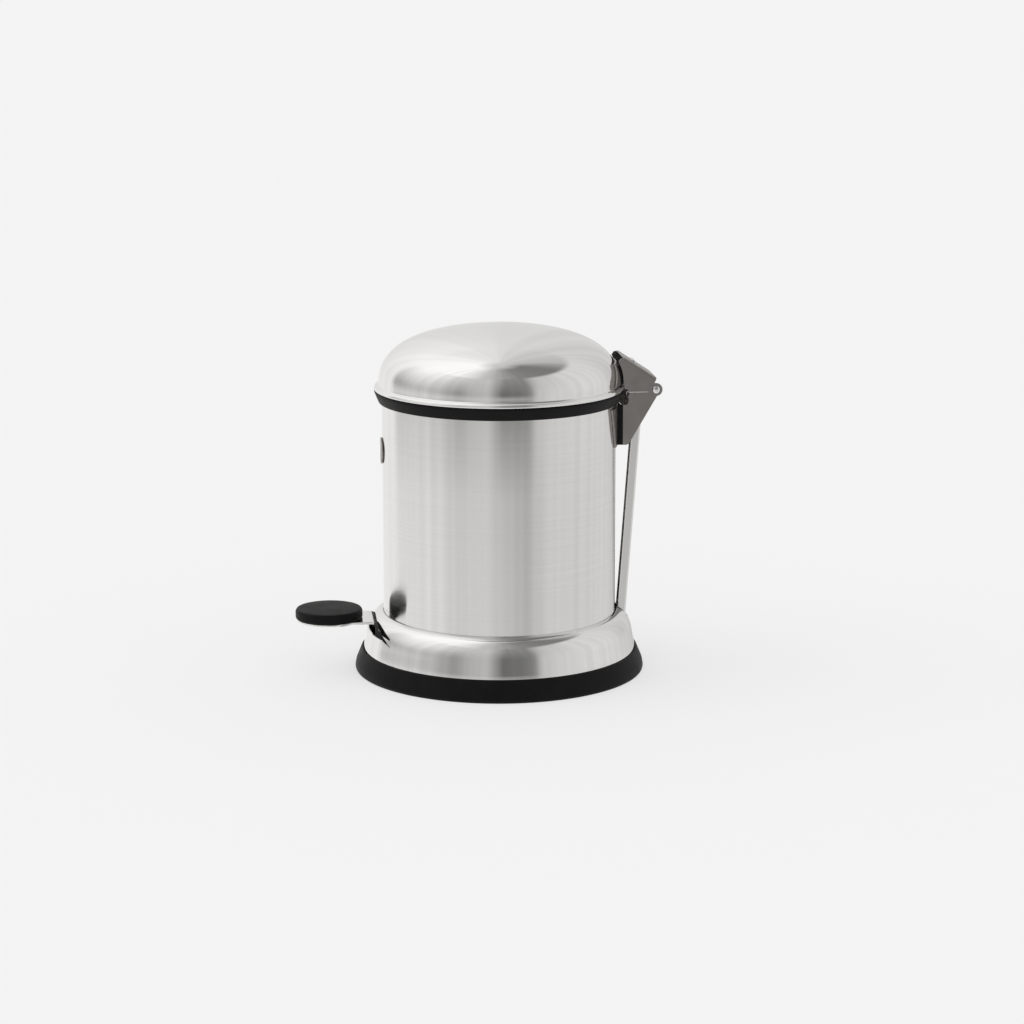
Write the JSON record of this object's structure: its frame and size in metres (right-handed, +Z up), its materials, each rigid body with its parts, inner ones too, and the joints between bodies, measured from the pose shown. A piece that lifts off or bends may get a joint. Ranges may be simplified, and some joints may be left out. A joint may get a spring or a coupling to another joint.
{
  "type": "pedal bin",
  "caption": "Small round pedal bin: domed lid on a rear hinge, opened by a foot pedal through a lever and push rod, with a lift-out bucket on a rubber base ring.",
  "frame": {"origin": "on the floor, at the middle of the bin's outline from the front of the pedal to the back of the hinge", "axes": "+Z up, -Y towards the pedal at the front, +Y towards the hinge at the back"},
  "size_m": [0.242, 0.304, 0.288],
  "materials": {
    "polished_steel": "mirror polished stainless steel",
    "satin_steel": "satin, finely brushed round the body",
    "bracket_steel": "darker satin steel",
    "zinc_steel": "dull zinc plated",
    "rubber": "matt black, moulded",
    "bucket_plastic": "moulded, fine grain"
  },
  "bodies": {
    "bin": {"base_ring": "rubber", "base_shroud": "polished_steel", "floor_plate": "bucket_plastic", "lever_bracket": "zinc_steel", "bracket_rivet_1": "zinc_steel", "bracket_rivet_2": "zinc_steel", "bracket_rivet_3": "zinc_steel", "bracket_rivet_4": "zinc_steel", "lever_axle": "zinc_steel", "axle_clip_left": "zinc_steel", "axle_clip_right": "zinc_steel", "body_shell": "satin_steel", "badge_disc": "bracket_steel", "hinge_lower_bracket": "bracket_steel", "body_rivet_1": "zinc_steel", "body_rivet_2": "zinc_steel", "body_rivet_3": "zinc_steel", "body_rivet_4": "zinc_steel", "hinge_pin": "polished_steel"},
    "lid": {"lid_dome": "polished_steel", "lid_seal": "rubber", "hinge_upper_bracket": "bracket_steel", "lid_crank": "zinc_steel", "lid_rivet_1": "zinc_steel", "lid_rivet_2": "zinc_steel", "crank_rivet_1": "zinc_steel", "crank_rivet_2": "zinc_steel", "rod_top_pin": "zinc_steel"},
    "pedal": {"pedal_lever": "polished_steel", "pedal_pad": "rubber", "rod_lower_pin": "zinc_steel"},
    "rod": {"push_rod": "satin_steel"},
    "bucket": {"inner_bucket": "bucket_plastic", "bail_ear_left": "zinc_steel", "bail_ear_right": "zinc_steel", "ear_rivet_left": "zinc_steel", "ear_rivet_right": "zinc_steel"},
    "bail": {"bail_handle": "zinc_steel"}
  },
  "joints": [
    {"name": "lid_hinge", "type": "hinge", "parent": "bin", "child": "lid", "pos_m": [0, 0.1466, 0.2361], "axis": [-1, 0, 0], "range_deg": [0, 72]},
    {"name": "pedal_pivot", "type": "hinge", "parent": "bin", "child": "pedal", "pos_m": [0, -0.0333, 0.0225], "axis": [1, 0, 0], "range_deg": [0, 6.52]},
    {"name": "rod_foot", "type": "hinge", "parent": "pedal", "child": "rod", "pos_m": [0, 0.11945, 0.0138], "axis": [-1, 0, 0], "range_deg": [0, 6.52]},
    {"name": "bucket_lift", "type": "slide", "parent": "bin", "child": "bucket", "axis": [0, 0, 1], "range_m": [0, 0.008]},
    {"name": "bail_hinge", "type": "hinge", "parent": "bucket", "child": "bail", "pos_m": [0, 0.0187, 0.2165], "axis": [1, 0, 0], "range_deg": [0, 25]}
  ],
  "couplings": [
    {"joint": "pedal_pivot", "follows": "lid_hinge", "ratio": 0.09054},
    {"joint": "rod_foot", "follows": "lid_hinge", "ratio": 0.09054}
  ]
}
